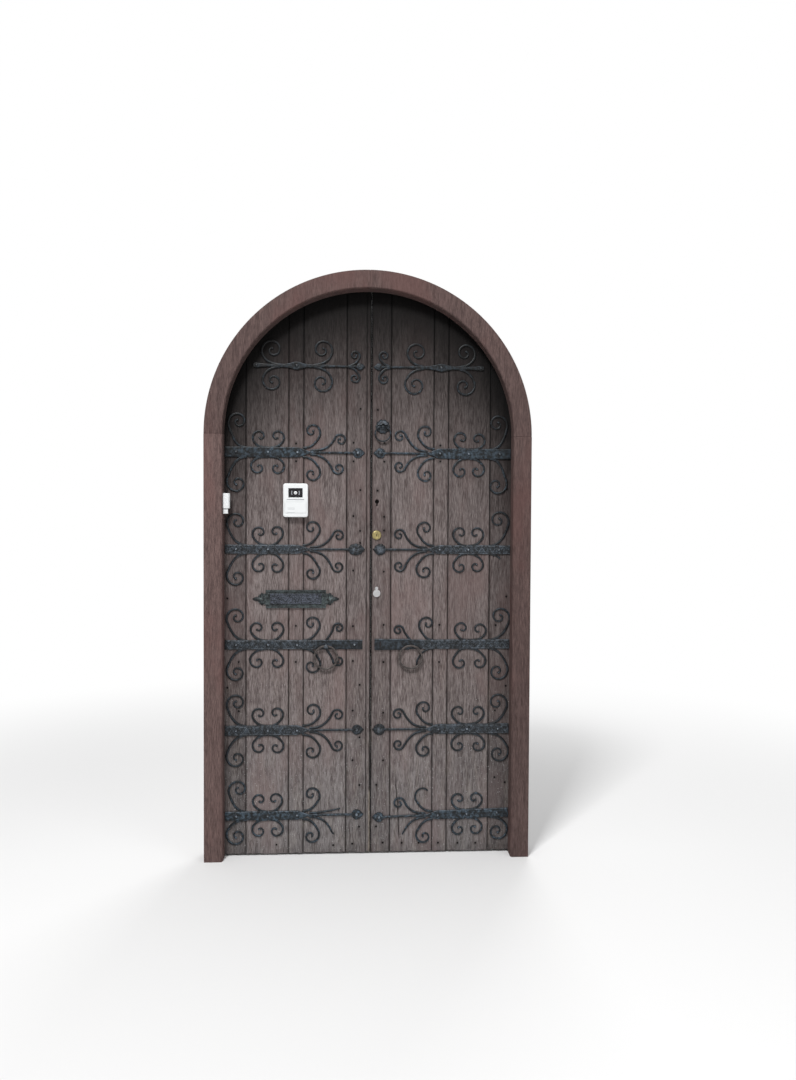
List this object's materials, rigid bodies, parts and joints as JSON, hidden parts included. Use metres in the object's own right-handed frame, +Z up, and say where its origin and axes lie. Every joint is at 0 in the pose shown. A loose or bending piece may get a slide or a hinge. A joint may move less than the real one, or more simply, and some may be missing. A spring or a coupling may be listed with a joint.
{
  "type": "arched wooden door",
  "caption": "Round-arched pair of planked oak leaves in a timber frame, opening inwards, with scrolled wrought-iron straps, ring pulls, knocker, letter plate, latch and bolts.",
  "frame": {"origin": "on the floor, under the middle of the whole part", "axes": "+Z up; +Y inwards through the doorway; +X to the right seen from outside"},
  "size_m": [1.35, 0.17, 2.439],
  "materials": {
    "leaf_oak": "dark purple-brown stain, weathered matt",
    "frame_oak": "reddish brown stain, matt",
    "black_iron": "forged and painted black, blue-green bloom on the worn edges",
    "brass": "worn satin brass",
    "lacquered_steel": "dark bronze lacquer",
    "chrome": "polished",
    "white_plastic": "slightly glossy white"
  },
  "bodies": {
    "frame": {"head_left": "frame_oak", "head_right": "frame_oak", "hinge_hooks": "black_iron", "jamb_left": "frame_oak", "jamb_right": "frame_oak", "reveal_contact": "white_plastic", "top_bolt_keep": "black_iron"},
    "right_leaf": {"escutcheon": "chrome", "knocker_rose": "black_iron", "latch_case": "lacquered_steel", "latch_cylinder": "brass", "right_board_1": "leaf_oak", "right_board_2": "leaf_oak", "right_board_3": "leaf_oak", "right_board_4": "leaf_oak", "right_board_5": "leaf_oak", "right_bottom_rail": "leaf_oak", "right_hanging_stile": "leaf_oak", "right_head_rail": "leaf_oak", "right_hinge_bands": "black_iron", "right_lock_rail": "leaf_oak", "right_meeting_stile": "leaf_oak", "right_strap_1": "black_iron", "right_strap_2": "black_iron", "right_strap_3": "black_iron", "right_strap_4": "black_iron", "right_strap_5": "black_iron", "right_strap_6": "black_iron"},
    "escutcheon_cover": {"escutcheon_cover": "chrome"},
    "foot_rod": {"foot_bolt_rod": "black_iron"},
    "knocker_ring": {"knocker_ring": "black_iron"},
    "latch_bolt": {"latch_bolt": "brass"},
    "left_leaf": {"latch_keep": "lacquered_steel", "left_board_1": "leaf_oak", "left_board_2": "leaf_oak", "left_board_3": "leaf_oak", "left_board_4": "leaf_oak", "left_board_5": "leaf_oak", "left_bottom_rail": "leaf_oak", "left_hanging_stile": "leaf_oak", "left_head_rail": "leaf_oak", "left_hinge_bands": "black_iron", "left_lock_rail": "leaf_oak", "left_meeting_stile": "leaf_oak", "left_strap_1": "black_iron", "left_strap_2": "black_iron", "left_strap_3": "black_iron", "left_strap_4": "black_iron", "left_strap_5": "black_iron", "left_strap_6": "black_iron", "letter_plate": "black_iron", "station_case": "white_plastic", "tower_bolt_plates": "black_iron"},
    "latch_knob": {"latch_knob": "brass"},
    "latch_plug": {"latch_plug": "brass"},
    "left_ring": {"left_pull_ring": "black_iron"},
    "letter_flap": {"letter_flap": "black_iron"},
    "right_ring": {"right_pull_ring": "black_iron"},
    "station_button": {"station_button": "white_plastic"},
    "top_rod": {"top_bolt_rod": "black_iron"}
  },
  "joints": [
    {"name": "left_leaf_swing", "type": "hinge", "parent": "frame", "child": "left_leaf", "pos_m": [-0.618, 0.047, 0.955], "axis": [0, 0, 1], "range_deg": [0, 105]},
    {"name": "right_leaf_swing", "type": "hinge", "parent": "frame", "child": "right_leaf", "pos_m": [0.618, 0.047, 0.955], "axis": [0, 0, -1], "range_deg": [0, 105]},
    {"name": "left_ring_lift", "type": "hinge", "parent": "left_leaf", "child": "left_ring", "pos_m": [-0.178, -0.03635, 0.886], "axis": [-1, 0, 0], "range_deg": [0, 150]},
    {"name": "right_ring_lift", "type": "hinge", "parent": "right_leaf", "child": "right_ring", "pos_m": [0.178, -0.03635, 0.886], "axis": [-1, 0, 0], "range_deg": [0, 150]},
    {"name": "knocker_lift", "type": "hinge", "parent": "right_leaf", "child": "knocker_ring", "pos_m": [0.057, -0.03399, 1.808], "axis": [-1, 0, 0], "range_deg": [0, 85]},
    {"name": "letter_flap_lift", "type": "hinge", "parent": "left_leaf", "child": "letter_flap", "pos_m": [-0.3036, -0.033, 1.1035], "axis": [-1, 0, 0], "range_deg": [0, 80]},
    {"name": "call_button_press", "type": "slide", "parent": "left_leaf", "child": "station_button", "axis": [0, 1, 0], "range_m": [0, 0.0015], "stiffness_N_per_m": 600},
    {"name": "key_turn", "type": "hinge", "parent": "right_leaf", "child": "latch_plug", "pos_m": [0.033, -0.024, 1.352], "axis": [0, 1, 0], "range_deg": [-90, 90]},
    {"name": "escutcheon_cover_swing", "type": "hinge", "parent": "right_leaf", "child": "escutcheon_cover", "pos_m": [0.034, -0.028, 1.128], "axis": [0, 1, 0], "range_deg": [-100, 35]},
    {"name": "latch_knob_turn", "type": "hinge", "parent": "right_leaf", "child": "latch_knob", "pos_m": [0.0632, 0.072, 1.352], "axis": [0, 1, 0], "range_deg": [0, 60]},
    {"name": "latch_bolt_slide", "type": "slide", "parent": "right_leaf", "child": "latch_bolt", "axis": [-1, 0, 0], "range_m": [0, 0.018]},
    {"name": "top_bolt_slide", "type": "slide", "parent": "left_leaf", "child": "top_rod", "axis": [0, 0, 1], "range_m": [0, 0.04]},
    {"name": "foot_bolt_slide", "type": "slide", "parent": "left_leaf", "child": "foot_rod", "axis": [0, 0, -1], "range_m": [0, 0.045]}
  ],
  "couplings": [
    {"joint": "latch_bolt_slide", "follows": "latch_knob_turn", "m_per_rad": 0.017189}
  ]
}
